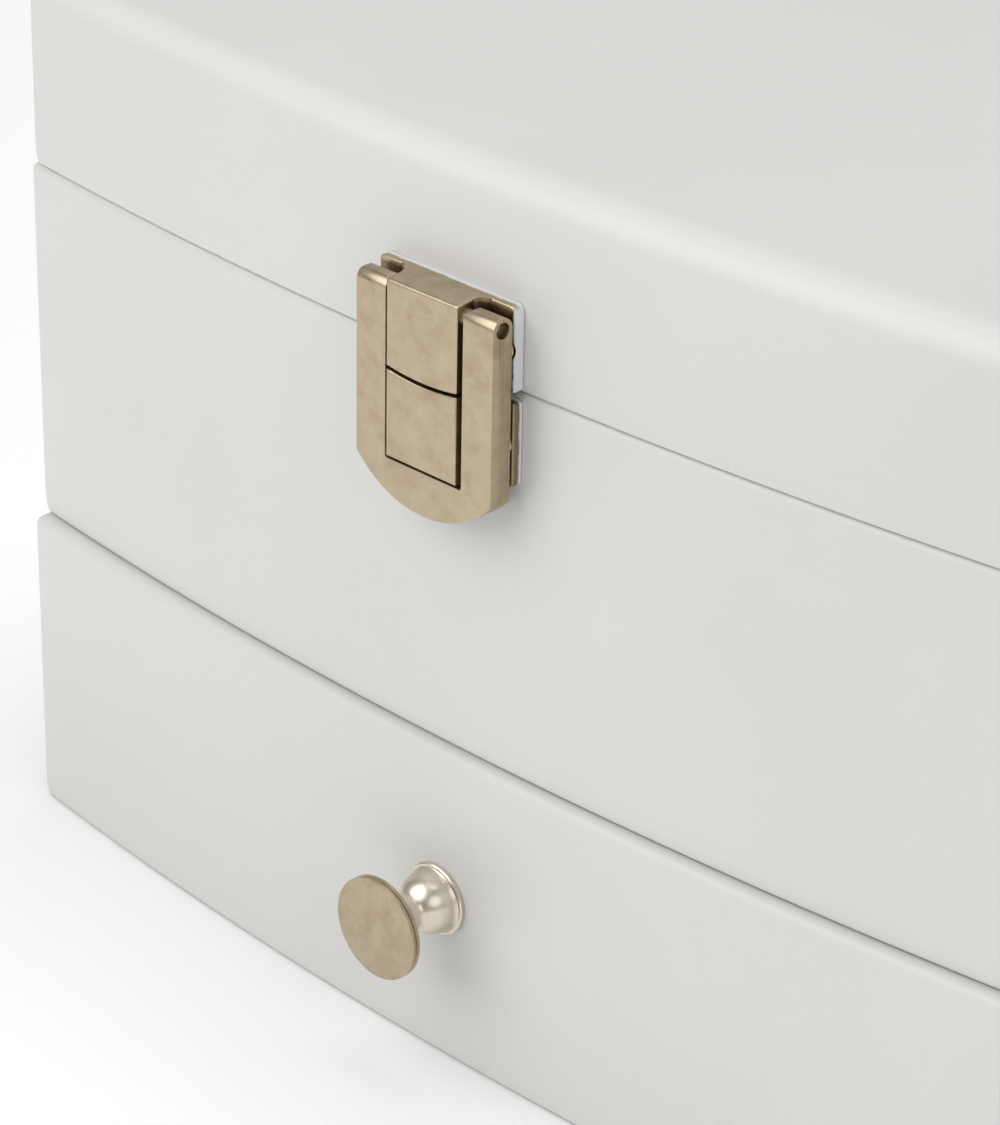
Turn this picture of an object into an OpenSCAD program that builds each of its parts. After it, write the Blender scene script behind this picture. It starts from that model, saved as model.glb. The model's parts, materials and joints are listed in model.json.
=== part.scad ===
// Small jewellery chest: hinged lid with a swing latch, one bow-fronted drawer.
// Origin: centre of the footprint, on the surface the chest rests on. Front faces -Y.

/* [Chest] */
// Width of the case
body_w = 174; // [160:1:200]
// Depth from the foremost point of the fixed front to the back
body_d = 126; // [116:1:150]
// How far the front bows forward at its middle
bow = 5.7; // [3:0.1:7]
// Thickness of the side panels
side_t = 7; // [6:0.5:9]
// Thickness of the back panel, which carries the hinges
back_t = 9; // [8.5:0.5:11]
// Thickness of the bowed fronts at their middle
front_t = 11; // [10.5:0.5:14]

/* [Tiers] */
// Thickness of the felt under the base
felt_t = 1; // [0.6:0.1:1.2]
// Thickness of the base panel
base_t = 5; // [4:0.5:6]
// Height of the drawer front
drawer_front_h = 44.9; // [41:0.1:51]
// Height of the fixed front above the drawer
apron_h = 51.8; // [48:0.1:60]
// Height of the lid
lid_h = 26.3; // [24:0.1:32]
// Thickness of the lid's top panel
lid_top_t = 7; // [6:0.5:8]
// How far the drawer front stands proud of the fixed front
drawer_proud = 1.7; // [1:0.1:3]
// How far each end of the lid sits inside the case
lid_inset = 0.8; // [0:0.1:1]

/* [Edges] */
// Rounding of the lid's top edges
lid_edge_r = 4.5; // [3:0.1:5.5]
// Rounding of the seams between the tiers
seam_r = 1.2; // [0.6:0.1:2]
// Rounding of the drawer front's top edge
drawer_edge_r = 1.4; // [0.8:0.1:2]

/* [Drawer] */
// Thickness of the drawer's sides
drawer_side_t = 5; // [4:0.5:6]
// Thickness of the drawer's back
drawer_back_t = 4; // [3:0.5:6]
// Height of the drawer's sides above the base
drawer_side_h = 37.7; // [34:0.1:38]
// How far the stop strip hangs from the shelf
stop_h = 4.5; // [4:0.1:5]

/* [Knob] */
// Diameter of the knob's disc
knob_d = 14; // [12:0.5:18]
// Distance from the drawer front to the middle of the domed disc
knob_reach = 11.6; // [9:0.1:14]

/* [Latch] */
// Width of the latch plates and the bail
latch_w = 23.2; // [20:0.2:24]
// Distance of the plates' centre line from the middle of the chest
latch_x = 0; // [-2:0.05:2]
// Thickness of the plates
latch_plate_t = 1.5; // [1:0.1:1.8]
// Distance from the front to the face of the bail
latch_reach = 5.6; // [5.4:0.1:7]
// Width of the folded flap and the catch block
latch_tongue_w = 12; // [10:0.2:12]
// Width of the bail's window
bail_window_w = 13.2; // [12.8:0.1:14]
// Thickness of the bail
bail_t = 3.2; // [2.8:0.1:3.4]
// Diameter of the latch pin
latch_pin_d = 2.1; // [1.6:0.1:2.3]

/* [Hinges] */
// Width of each hinge
hinge_w = 24; // [20:1:30]
// Distance of each hinge from the middle of the chest
hinge_x = 52; // [40:1:60]
// Angle at which the chamfered back edges meet and stop the lid
lid_angle = 95; // [90:1:100]

/* [Interior] */
// Number of rolls in the ring holder
roll_count = 5; // [4:1:5]
// Height of the ring rolls
roll_h = 20; // [15:1:24]
// Thickness of the compartment dividers
divider_t = 2.4; // [2:0.2:4]
// Height of the mirror strip frame's sides
mirror_frame_t = 4; // [3.5:0.5:5]

/* [Hidden] */

// Colours
PAINT = "#d9d8d5";
NICKEL = "#beb496";
VELVET = "#cfc6b8";
FELT = "#8f8a82";
BARE_WOOD = "#d8c7a6";
MIRROR = "#cfd6da";

// Facets: the bow's large radius needs many, small rounds need few
bow_fn = 720;
round_fn = 48;
small_fn = 24;

// Clearances and overshoot
slack = 0.3;
over = 1;

// Plan of the case
half_w = body_w / 2;
lid_half_w = half_w - lid_inset;
front_y = -body_d / 2;
back_y = body_d / 2;
inner_front_y = front_y + front_t;
inner_back_y = back_y - back_t;
inner_half_w = half_w - side_t;
inner_d = inner_back_y - inner_front_y;
bow_r = (half_w * half_w + bow * bow) / (2 * bow);
bow_cy = front_y + bow_r;

// Levels
seam_gap = 0.4;
tier_gap = 0.7;
front_lift = 0.4;
shelf_t = 4;
shelf_rise = 0.8;
base_top_z = felt_t + base_t;
drawer_front_top_z = front_lift + drawer_front_h;
apron_z = drawer_front_top_z + tier_gap;
case_top_z = apron_z + apron_h;
seam_z = case_top_z + seam_gap / 2;
lid_z = case_top_z + seam_gap;
lid_top_z = lid_z + lid_h;
lid_panel_z = lid_top_z - lid_top_t;
shelf_z = apron_z + shelf_rise;
shelf_top_z = shelf_z + shelf_t;

// Lid rails: the back rail's inner face lines up with the case's
lid_side_x = inner_half_w;
lid_bottom_r = 1;

// Hinges: the axis lies in the seam, at the root of the chamfered back edges
hinge_inset = 3;
hinge_y = back_y - hinge_inset;
barrel_r = 1.6;
barrel_clear_r = 1.9;
hinge_pin_r = 0.8;
hinge_run = 0.05;
leaf_t = 0.9;
leaf_d = 5;
knuckle_gap = 0.2;
chamfer_gap = 0.15;
chamfer_len = 12;
hinge_screw_r = 0.8;
hinge_head_r = 1.4;
hinge_screw_l = 7;
hinge_screw_y = hinge_y - leaf_d + 1.9;
hinge_screw_dx = 7;

// Latch, measured from the seam and the foremost point of the front
plate_face_y = front_y - latch_plate_t;
latch_face_y = front_y - latch_reach;
lid_plate_top_z = seam_z + 11.4;
roof_front_z = seam_z + 10.95;
catch_top_z = seam_z - 1.1;
catch_plate_bottom_z = seam_z - 12.3;
catch_block_bottom_z = seam_z - 12.4;
bail_top_z = seam_z + 10.95;
latch_pin_z = bail_top_z - bail_t / 2;
latch_pin_y = latch_face_y + bail_t / 2;
bail_straight_z = seam_z - 13.25;
bail_bottom_z = seam_z - 18.4;
bail_window_z = catch_block_bottom_z - 0.25;
bail_sag = bail_straight_z - bail_bottom_z;
bail_x = latch_x + 0.45;
bail_arc_r = (pow(latch_w / 2, 2) + bail_sag * bail_sag) / (2 * bail_sag);
flap_t = 1.2;
flap_side_z = seam_z - 0.35;
flap_sag = 0.5;
flap_gap = 0.5;
flap_arc_r = (pow(latch_tongue_w / 2, 2) + flap_sag * flap_sag) / (2 * flap_sag);
knuckle_z = seam_z + 6.2;
cap_run = 0.4;
plate_corner_r = 0.8;
latch_pin_recess = 0.5;
latch_pin_run = 0.05;
nail_x = 10.35;
nail_head_r = 1.15;
nail_head_h = 0.5;
nail_r = 0.5;
nail_l = 6;
lid_nail_z = seam_z + 5.8;
case_nail_z = seam_z - 6.5;

// Drawer
guide_w = 3.6;
guide_h = 8;
drawer_half_w = inner_half_w - guide_w - 0.4;
drawer_rear_gap = 4;
drawer_back_y = inner_back_y - drawer_rear_gap;
drawer_face_y = inner_front_y - slack;
drawer_z = base_top_z + slack;
drawer_inner_half_w = drawer_half_w - drawer_side_t;
drawer_inner_back_y = drawer_back_y - drawer_back_t;
drawer_bottom_t = 3;
pad_t = 2;
drawer_floor_z = drawer_z + drawer_bottom_t + pad_t;
drawer_divider_h = 25;
drawer_mid_y = (drawer_face_y + drawer_inner_back_y) / 2;
drawer_cell_x = drawer_inner_half_w / 3;
stop_y = inner_front_y + 6;
stop_d = 4;
stop_w = 120;

// Knob, in its own axis: x is the radius, y is the height over the drawer front
knob_z = seam_z - 74.5;
knob_face_y = front_y - drawer_proud;
knob_flange_r = 5;
knob_flange_t = 0.7;
knob_bell_r = 4.3;
knob_bell_h = 2.6;
knob_neck_r = 2.6;
knob_disc_t = 1.1;
knob_dome = 0.6;
knob_screw_r = 2;
knob_bore = 6;
knob_head_r = 3.6;
knob_head_h = 2.2;

// Interior
lining_t = 1.6;
floor_pad_t = 2.5;
tray_z = shelf_top_z + floor_pad_t;
lining_top_z = case_top_z - 3;
tray_half_w = inner_half_w - lining_t;
tray_front_y = inner_front_y + lining_t;
tray_back_y = inner_back_y - lining_t;
divider_h = 30;
tray_mid_y = 3;
tray_cell_x = 26;
roll_gap = 0.8;
roll_left_x = -tray_half_w + roll_gap / 2;
roll_right_x = tray_cell_x - divider_t / 2 - roll_gap / 2;
roll_span = tray_mid_y - divider_t / 2 - tray_front_y;
roll_pitch = roll_span / roll_count;
roll_w = roll_pitch - roll_gap;

// Mirror under the lid's top panel
mirror_t = 2;
mirror_margin = 7;
mirror_lip = 4;
frame_margin = 1.5;
frame_half_x = lid_side_x - frame_margin;
frame_front_y = inner_front_y + frame_margin;
frame_back_y = inner_back_y - frame_margin;
frame_bar_w = 9;

// ---- Shared shapes ----

// A square corner minus its rounding, to be taken away from a profile
module corner_waste(r) {
    difference() {
        square(r + over);
        circle(r = r, $fn = round_fn);
    }
}

// Waste of the upper and lower corners at x, on a profile of height h; 0 is a sharp corner
module edge_waste(x, h, r_top, r_bottom) {
    if (r_top > 0) translate([x - r_top, h - r_top]) corner_waste(r_top);
    if (r_bottom > 0)
        translate([x - r_bottom, r_bottom]) mirror([0, 1]) corner_waste(r_bottom);
}

// Block outline standing on y = 0 with its corners rounded
module soft_outline(half, h, r_top, r_bottom) {
    difference() {
        translate([-half, 0]) square([2 * half, h]);
        for (s = [0, 1]) mirror([s, 0]) edge_waste(half, h, r_top, r_bottom);
    }
}

// Disc of the bow's radius, with its rim rounded above and below
module bow_disc(proud, h, r_top, r_bottom) {
    r = bow_r + proud;
    rotate_extrude($fn = bow_fn)
        difference() {
            square([r, h]);
            edge_waste(r, h, r_top, r_bottom);
        }
}

// Solid from y_rear forward to the bowed front, between z0 and z1
module bowed_block(half, z0, z1, y_rear, proud, r_top, r_bottom) {
    h = z1 - z0;
    intersection() {
        translate([0, bow_cy, z0]) bow_disc(proud, h, r_top, r_bottom);
        translate([0, y_rear, z0]) rotate([90, 0, 0])
            linear_extrude(height = y_rear - front_y + proud + over)
                soft_outline(half, h, r_top, r_bottom);
    }
}

module box(x0, x1, y0, y1, z0, z1) {
    translate([x0, y0, z0]) cube([x1 - x0, y1 - y0, z1 - z0]);
}

// Round bar along X, centred on x
module bar_x(x, y, z, r, l, fn = round_fn) {
    translate([x - l / 2, y, z]) rotate([0, 90, 0]) cylinder(r = r, h = l, $fn = fn);
}

// Round bar along Y from y0 towards +Y
module bar_y(x, y0, z, r, l, fn = small_fn) {
    translate([x, y0, z]) rotate([-90, 0, 0]) cylinder(r = r, h = l, $fn = fn);
}

// Waste behind the hinge axis: sign is -1 for the case and 1 for the lid
module chamfer_waste(sign) {
    slope = lid_angle / 2;
    length = body_w + 2 * over;
    translate([-length / 2, hinge_y, seam_z]) rotate([90, 0, 90])
        linear_extrude(height = length)
            polygon([
                [0, sign * chamfer_gap / cos(slope)],
                [chamfer_len, sign * (chamfer_len * tan(slope) + chamfer_gap / cos(slope))],
                [chamfer_len, -sign * over],
                [0, -sign * over]
            ]);
}

// ---- Hinges ----

module each_hinge() {
    for (s = [-1, 1]) translate([s * hinge_x, 0, 0]) children();
}

module each_hinge_screw() {
    each_hinge() for (s = [-1, 1]) translate([s * hinge_screw_dx, 0, 0]) children();
}

// sign -1 puts the leaf on the case, 1 puts it under the lid
module leaf_blank(sign) {
    z = sign < 0 ? case_top_z - leaf_t : lid_z;
    box(-hinge_w / 2, hinge_w / 2, hinge_y - leaf_d, hinge_y, z, z + leaf_t);
}

// The case holds the two outer knuckles, the lid the middle one
module knuckle_span(sign, r, grow) {
    third = hinge_w / 3;
    if (sign > 0) {
        bar_x(0, hinge_y, seam_z, r, third - knuckle_gap + 2 * grow);
    } else {
        for (s = [-1, 1])
            bar_x(s * third, hinge_y, seam_z, r, third - knuckle_gap + 2 * grow);
    }
}

// Countersunk screw, upright under the lid and hanging in the case
module hinge_screw(sign, grow = 0) {
    z = sign < 0 ? case_top_z : lid_z;
    translate([0, hinge_screw_y, z]) mirror([0, 0, sign < 0 ? 1 : 0]) {
        cylinder(r1 = hinge_head_r + grow, r2 = hinge_screw_r + grow, h = leaf_t,
                 $fn = small_fn);
        cylinder(r = hinge_screw_r + grow, h = hinge_screw_l, $fn = small_fn);
    }
}

module hinge_leaves(sign) {
    each_hinge() difference() {
        union() {
            difference() {
                leaf_blank(sign);
                knuckle_span(-sign, barrel_clear_r, knuckle_gap);
            }
            knuckle_span(sign, barrel_r, 0);
        }
        bar_x(0, hinge_y, seam_z, hinge_pin_r + (sign > 0 ? hinge_run : 0),
              hinge_w + 2 * over);
        for (s = [-1, 1]) translate([s * hinge_screw_dx, 0, 0]) hinge_screw(sign);
    }
}

// Room that a wooden panel gives to the hinges
module hinge_waste(sign) {
    each_hinge() {
        leaf_blank(sign);
        bar_x(0, hinge_y, seam_z, barrel_clear_r, hinge_w + 2 * knuckle_gap);
    }
    each_hinge_screw() hinge_screw(sign);
}

// ---- Latch ----

module each_nail(z) {
    for (s = [-1, 1]) translate([latch_x + s * nail_x, 0, z]) children();
}

module nail_shafts(z) {
    each_nail(z) bar_y(0, plate_face_y, 0, nail_r, nail_l);
}

module nails(z) {
    color(NICKEL) each_nail(z) {
        bar_y(0, plate_face_y, 0, nail_r, nail_l);
        bar_y(0, plate_face_y - nail_head_h, 0, nail_head_r, nail_head_h);
    }
}

// Upright plate on the front with two rounded corners, above or below
module latch_plate(z0, z1, r_top, r_bottom) {
    translate([latch_x, front_y, z0]) rotate([90, 0, 0])
        linear_extrude(height = latch_plate_t)
            soft_outline(latch_w / 2, z1 - z0, r_top, r_bottom);
}

// Side view of the folded cap, the pin's knuckle and the hanging flap: x is Y, y is Z
module cap_profile() {
    flap_z = flap_side_z - flap_sag;
    difference() {
        polygon([
            [latch_face_y, flap_z],
            [plate_face_y, flap_z],
            [plate_face_y, lid_plate_top_z],
            [latch_face_y + cap_run, roof_front_z],
            [latch_face_y, roof_front_z - cap_run]
        ]);
        translate([latch_face_y + flap_t, flap_z - over])
            square([latch_reach, knuckle_z - flap_z + over]);
    }
}

// Disc whose lower rim is the flap's lower edge, grown by a gap
module flap_disc(gap) {
    translate([0, flap_side_z - flap_sag + flap_arc_r])
        circle(r = flap_arc_r + gap, $fn = 256);
}

// Front view of the flap, with its gently curved lower edge
module flap_outline() {
    half = latch_tongue_w / 2;
    intersection() {
        translate([-half, flap_side_z - flap_sag])
            square([2 * half, lid_plate_top_z - flap_side_z + flap_sag]);
        flap_disc(0);
    }
}

// Front view of the catch block, whose top follows the flap
module block_outline() {
    half = latch_tongue_w / 2;
    difference() {
        translate([-half, catch_block_bottom_z])
            square([2 * half, flap_side_z - catch_block_bottom_z]);
        flap_disc(flap_gap);
    }
}

// ---- Case ----

module base_felt() {
    color(FELT) box(-half_w + 1, half_w - 1, inner_front_y, back_y - 1, 0, felt_t);
}

module base_panel() {
    color(PAINT)
        box(-inner_half_w, inner_half_w, inner_front_y, inner_back_y, felt_t, base_top_z);
}

// sign -1 is the left panel; its outer top edge is rounded at the seam
module case_side(sign) {
    color(PAINT) intersection() {
        box(min(sign * inner_half_w, sign * half_w), max(sign * inner_half_w, sign * half_w),
            inner_front_y, inner_back_y, felt_t, case_top_z);
        translate([0, inner_back_y, 0]) rotate([90, 0, 0]) linear_extrude(height = inner_d)
            soft_outline(half_w, case_top_z, seam_r, seam_r / 2);
    }
}

module left_side_panel() {
    case_side(-1);
}

module right_side_panel() {
    case_side(1);
}

module back_panel() {
    color(PAINT) difference() {
        translate([0, back_y, felt_t]) rotate([90, 0, 0]) linear_extrude(height = back_t)
            soft_outline(half_w, case_top_z - felt_t, seam_r, seam_r / 2);
        chamfer_waste(-1);
        hinge_waste(-1);
    }
}

module divider_shelf() {
    color(PAINT)
        box(-inner_half_w, inner_half_w, inner_front_y, inner_back_y, shelf_z, shelf_top_z);
}

module front_apron() {
    color(PAINT) difference() {
        bowed_block(half_w, apron_z, case_top_z, inner_front_y, 0, seam_r, seam_r);
        nail_shafts(case_nail_z);
    }
}

module drawer_guides() {
    color(BARE_WOOD) for (s = [0, 1]) mirror([s, 0, 0])
        box(inner_half_w - guide_w, inner_half_w, inner_front_y + 2, inner_back_y - 2,
            base_top_z, base_top_z + guide_h);
}

module drawer_stop() {
    color(BARE_WOOD)
        box(-stop_w / 2, stop_w / 2, stop_y, stop_y + stop_d, shelf_z - stop_h, shelf_z);
}

module compartment_lining() {
    color(VELVET) {
        for (y = [inner_front_y, tray_back_y])
            box(-inner_half_w, inner_half_w, y, y + lining_t, tray_z, lining_top_z);
        for (x = [-inner_half_w, tray_half_w])
            box(x, x + lining_t, tray_front_y, tray_back_y, tray_z, lining_top_z);
    }
}

module compartment_floor_pad() {
    color(VELVET)
        box(-inner_half_w, inner_half_w, inner_front_y, inner_back_y, shelf_top_z, tray_z);
}

module compartment_dividers() {
    half = divider_t / 2;
    top = tray_z + divider_h;
    color(VELVET) {
        box(-tray_half_w, tray_half_w, tray_mid_y - half, tray_mid_y + half, tray_z, top);
        for (x = [-tray_cell_x, tray_cell_x])
            box(x - half, x + half, tray_mid_y + half, tray_back_y, tray_z, top);
        box(tray_cell_x - half, tray_cell_x + half, tray_front_y, tray_mid_y - half,
            tray_z, top);
    }
}

// One roll per pitch, round on top
module ring_rolls() {
    color(VELVET) for (i = [0:roll_count - 1])
        translate([roll_left_x, tray_front_y + (i + 0.5) * roll_pitch, tray_z])
            rotate([90, 0, 90]) linear_extrude(height = roll_right_x - roll_left_x) {
                translate([0, roll_h - roll_w / 2]) circle(d = roll_w, $fn = round_fn);
                translate([-roll_w / 2, 0]) square([roll_w, roll_h - roll_w / 2]);
            }
}

module latch_catch_plate() {
    color(NICKEL) difference() {
        union() {
            latch_plate(catch_plate_bottom_z, catch_top_z, plate_corner_r / 2,
                        plate_corner_r);
            translate([latch_x, front_y, 0]) rotate([90, 0, 0])
                linear_extrude(height = latch_reach) block_outline();
        }
        nail_shafts(case_nail_z);
    }
}

module latch_case_nails() {
    nails(case_nail_z);
}

module hinge_case_leaves() {
    color(NICKEL) hinge_leaves(-1);
}

module hinge_pins() {
    color(NICKEL) each_hinge() bar_x(0, hinge_y, seam_z, hinge_pin_r, hinge_w);
}

module hinge_case_screws() {
    color(NICKEL) each_hinge_screw() hinge_screw(-1);
}

// ---- Lid ----

// Top panel: every upper edge is rounded
module lid_top_panel() {
    h = lid_top_z - lid_panel_z;
    color(PAINT) intersection() {
        bowed_block(lid_half_w, lid_panel_z, lid_top_z, back_y, 0, lid_edge_r, 0);
        translate([-half_w, 0, lid_panel_z]) rotate([90, 0, 90])
            linear_extrude(height = body_w) difference() {
                translate([front_y - over, 0]) square([body_d + over, h]);
                translate([back_y - lid_edge_r, h - lid_edge_r]) corner_waste(lid_edge_r);
            }
    }
}

module lid_front_rail() {
    color(PAINT) difference() {
        bowed_block(lid_half_w, lid_z, lid_panel_z, inner_front_y, 0, 0, lid_bottom_r);
        nail_shafts(lid_nail_z);
    }
}

// sign -1 is the left rail
module lid_side_rail(sign) {
    color(PAINT) intersection() {
        box(min(sign * lid_side_x, sign * lid_half_w), max(sign * lid_side_x, sign * lid_half_w),
            inner_front_y, inner_back_y, lid_z, lid_panel_z);
        translate([0, inner_back_y, lid_z]) rotate([90, 0, 0])
            linear_extrude(height = inner_d)
                soft_outline(lid_half_w, lid_h, lid_edge_r, lid_bottom_r);
    }
}

module lid_left_rail() {
    lid_side_rail(-1);
}

module lid_right_rail() {
    lid_side_rail(1);
}

module lid_back_rail() {
    color(PAINT) difference() {
        box(-lid_half_w, lid_half_w, inner_back_y, back_y, lid_z, lid_panel_z);
        chamfer_waste(1);
        hinge_waste(1);
    }
}

module mirror_plate() {
    box(-frame_half_x + mirror_lip, frame_half_x - mirror_lip,
        frame_front_y + mirror_lip, frame_back_y - mirror_lip,
        lid_panel_z - mirror_t, lid_panel_z);
}

module lid_mirror() {
    color(MIRROR) mirror_plate();
}

// Four strips, each rebated over the mirror's edge
module mirror_frame() {
    z0 = lid_panel_z - mirror_frame_t;
    color(PAINT) difference() {
        union() {
            for (y = [frame_front_y, frame_back_y - frame_bar_w])
                box(-frame_half_x, frame_half_x, y, y + frame_bar_w, z0, lid_panel_z);
            for (s = [0, 1]) mirror([s, 0, 0])
                box(frame_half_x - frame_bar_w, frame_half_x, frame_front_y + frame_bar_w,
                    frame_back_y - frame_bar_w, z0, lid_panel_z);
        }
        mirror_plate();
    }
}

// Plate on the lid whose middle folds forward over the pin and hangs as a flap
module latch_lid_plate() {
    half = latch_tongue_w / 2;
    color(NICKEL) difference() {
        union() {
            latch_plate(lid_z, lid_plate_top_z, plate_corner_r, plate_corner_r / 2);
            translate([latch_x, 0, 0]) intersection() {
                translate([-half, 0, 0]) rotate([90, 0, 90])
                    linear_extrude(height = 2 * half) cap_profile();
                translate([0, front_y, 0]) rotate([90, 0, 0])
                    linear_extrude(height = latch_reach + over) flap_outline();
            }
        }
        bar_x(latch_x, latch_pin_y, latch_pin_z, latch_pin_d / 2 + latch_pin_run, latch_w);
        nail_shafts(lid_nail_z);
    }
}

module latch_lid_nails() {
    nails(lid_nail_z);
}

module hinge_lid_leaves() {
    color(NICKEL) hinge_leaves(1);
}

module hinge_lid_screws() {
    color(NICKEL) each_hinge_screw() hinge_screw(1);
}

// ---- Latch bail ----

// Two arms and a curved foot around an open window
module bail_outline() {
    half = latch_w / 2;
    difference() {
        intersection() {
            translate([-half, bail_bottom_z]) square([2 * half, bail_top_z - bail_bottom_z]);
            union() {
                translate([0, bail_bottom_z + bail_arc_r]) circle(r = bail_arc_r, $fn = 128);
                translate([-half, bail_straight_z])
                    square([2 * half, bail_top_z - bail_straight_z]);
            }
        }
        translate([-bail_window_w / 2, bail_window_z])
            square([bail_window_w, bail_top_z - bail_window_z + over]);
    }
}

// Side view of the bail, round at the top of its arms: x is Y, y is Z
module bail_profile() {
    round_z = bail_top_z - bail_t / 2;
    translate([latch_pin_y, round_z]) circle(d = bail_t, $fn = round_fn);
    translate([latch_face_y, bail_bottom_z - over]) square([bail_t, round_z - bail_bottom_z + over]);
}

module latch_bail() {
    color(NICKEL) translate([bail_x, 0, 0]) difference() {
        intersection() {
            translate([0, front_y, 0]) rotate([90, 0, 0])
                linear_extrude(height = latch_reach + over) bail_outline();
            translate([-latch_w, 0, 0]) rotate([90, 0, 90])
                linear_extrude(height = 2 * latch_w) bail_profile();
        }
        bar_x(0, latch_pin_y, latch_pin_z, latch_pin_d / 2, latch_w + over);
    }
}

module latch_pin() {
    color(NICKEL)
        bar_x(bail_x, latch_pin_y, latch_pin_z, latch_pin_d / 2,
              latch_w - 2 * latch_pin_recess);
}

// ---- Drawer ----

module drawer_front() {
    color(PAINT) difference() {
        bowed_block(half_w, front_lift, drawer_front_top_z, drawer_face_y, drawer_proud,
                    drawer_edge_r, seam_r);
        bar_y(0, knob_face_y - over, knob_z, knob_screw_r, front_t + drawer_proud + 2 * over);
        bar_y(0, drawer_face_y - knob_head_h, knob_z, knob_head_r, knob_head_h + over);
    }
}

// sign -1 is the left side
module drawer_side(sign) {
    inner = sign * drawer_inner_half_w;
    outer = sign * drawer_half_w;
    color(BARE_WOOD) box(min(inner, outer), max(inner, outer), drawer_face_y, drawer_back_y,
                         drawer_z, drawer_z + drawer_side_h);
}

module drawer_left_side() {
    drawer_side(-1);
}

module drawer_right_side() {
    drawer_side(1);
}

module drawer_back() {
    color(BARE_WOOD)
        box(-drawer_inner_half_w, drawer_inner_half_w, drawer_inner_back_y, drawer_back_y,
            drawer_z, drawer_z + drawer_side_h);
}

module drawer_bottom() {
    color(BARE_WOOD)
        box(-drawer_inner_half_w, drawer_inner_half_w, drawer_face_y, drawer_inner_back_y,
            drawer_z, drawer_z + drawer_bottom_t);
}

module drawer_floor_pad() {
    color(VELVET)
        box(-drawer_inner_half_w, drawer_inner_half_w, drawer_face_y, drawer_inner_back_y,
            drawer_floor_z - pad_t, drawer_floor_z);
}

module drawer_dividers() {
    half = divider_t / 2;
    top = drawer_floor_z + drawer_divider_h;
    color(VELVET) {
        box(-drawer_inner_half_w, drawer_inner_half_w, drawer_mid_y - half,
            drawer_mid_y + half, drawer_floor_z, top);
        for (x = [-drawer_cell_x, drawer_cell_x]) {
            box(x - half, x + half, drawer_face_y, drawer_mid_y - half, drawer_floor_z, top);
            box(x - half, x + half, drawer_mid_y + half, drawer_inner_back_y,
                drawer_floor_z, top);
        }
    }
}

// Flange, bell, neck and slightly domed disc, turned in one piece
module knob_profile() {
    disc_back = knob_reach - knob_dome - knob_disc_t;
    dome_r = (pow(knob_d / 2, 2) + knob_dome * knob_dome) / (2 * knob_dome);
    square([knob_flange_r, knob_flange_t]);
    intersection() {
        translate([0, knob_flange_t]) circle(r = knob_bell_r, $fn = 96);
        translate([0, knob_flange_t]) square([knob_bell_r, knob_bell_h]);
    }
    square([knob_neck_r, disc_back + knob_disc_t]);
    translate([0, disc_back]) square([knob_d / 2, knob_disc_t]);
    intersection() {
        translate([0, knob_reach - dome_r]) circle(r = dome_r, $fn = 360);
        translate([0, disc_back + knob_disc_t]) square([knob_d / 2, knob_dome]);
    }
}

module drawer_knob() {
    color(NICKEL) translate([0, knob_face_y, knob_z]) rotate([90, 0, 0]) difference() {
        rotate_extrude($fn = 96) knob_profile();
        translate([0, 0, -over]) cylinder(r = knob_screw_r, h = knob_bore + over,
                                          $fn = round_fn);
    }
}

module knob_screw() {
    color(NICKEL) {
        bar_y(0, knob_face_y - knob_bore, knob_z, knob_screw_r,
              drawer_face_y - knob_face_y + knob_bore, round_fn);
        bar_y(0, drawer_face_y - knob_head_h, knob_z, knob_head_r, knob_head_h, round_fn);
    }
}

base_felt();
base_panel();
left_side_panel();
right_side_panel();
back_panel();
divider_shelf();
front_apron();
drawer_guides();
drawer_stop();
compartment_lining();
compartment_floor_pad();
compartment_dividers();
ring_rolls();
latch_catch_plate();
latch_case_nails();
hinge_case_leaves();
hinge_pins();
hinge_case_screws();
lid_top_panel();
lid_front_rail();
lid_left_rail();
lid_right_rail();
lid_back_rail();
lid_mirror();
mirror_frame();
latch_lid_plate();
latch_lid_nails();
hinge_lid_leaves();
hinge_lid_screws();
latch_bail();
latch_pin();
drawer_front();
drawer_left_side();
drawer_right_side();
drawer_back();
drawer_bottom();
drawer_floor_pad();
drawer_dividers();
drawer_knob();
knob_screw();
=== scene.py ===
import json
import math
import random

import bmesh
import bpy
from mathutils import Matrix, Vector


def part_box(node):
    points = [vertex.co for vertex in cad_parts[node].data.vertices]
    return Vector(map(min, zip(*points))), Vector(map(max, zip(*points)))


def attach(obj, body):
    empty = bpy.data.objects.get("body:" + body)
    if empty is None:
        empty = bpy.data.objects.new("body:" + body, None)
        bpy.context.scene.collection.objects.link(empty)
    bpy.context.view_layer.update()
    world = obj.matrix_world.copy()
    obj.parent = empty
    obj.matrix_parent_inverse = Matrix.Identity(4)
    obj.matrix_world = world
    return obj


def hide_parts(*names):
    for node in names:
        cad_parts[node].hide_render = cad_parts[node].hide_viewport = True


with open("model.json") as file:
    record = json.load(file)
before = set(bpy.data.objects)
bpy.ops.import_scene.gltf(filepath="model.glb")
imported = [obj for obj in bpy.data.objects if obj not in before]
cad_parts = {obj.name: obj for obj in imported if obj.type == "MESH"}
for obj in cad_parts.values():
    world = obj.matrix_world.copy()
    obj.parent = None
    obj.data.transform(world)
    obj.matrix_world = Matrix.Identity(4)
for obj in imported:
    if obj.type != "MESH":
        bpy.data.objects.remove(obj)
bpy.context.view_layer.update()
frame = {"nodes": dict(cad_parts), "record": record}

MM = 0.001


# ---- The chest's own sizes, from the frame ----

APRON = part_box("front_apron")
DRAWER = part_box("drawer_front")
LID_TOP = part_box("lid_top_panel")
LID_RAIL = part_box("lid_front_rail")
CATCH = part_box("latch_catch_plate")
LID_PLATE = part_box("latch_lid_plate")
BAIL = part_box("latch_bail")
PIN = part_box("latch_pin")
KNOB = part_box("drawer_knob")

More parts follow.
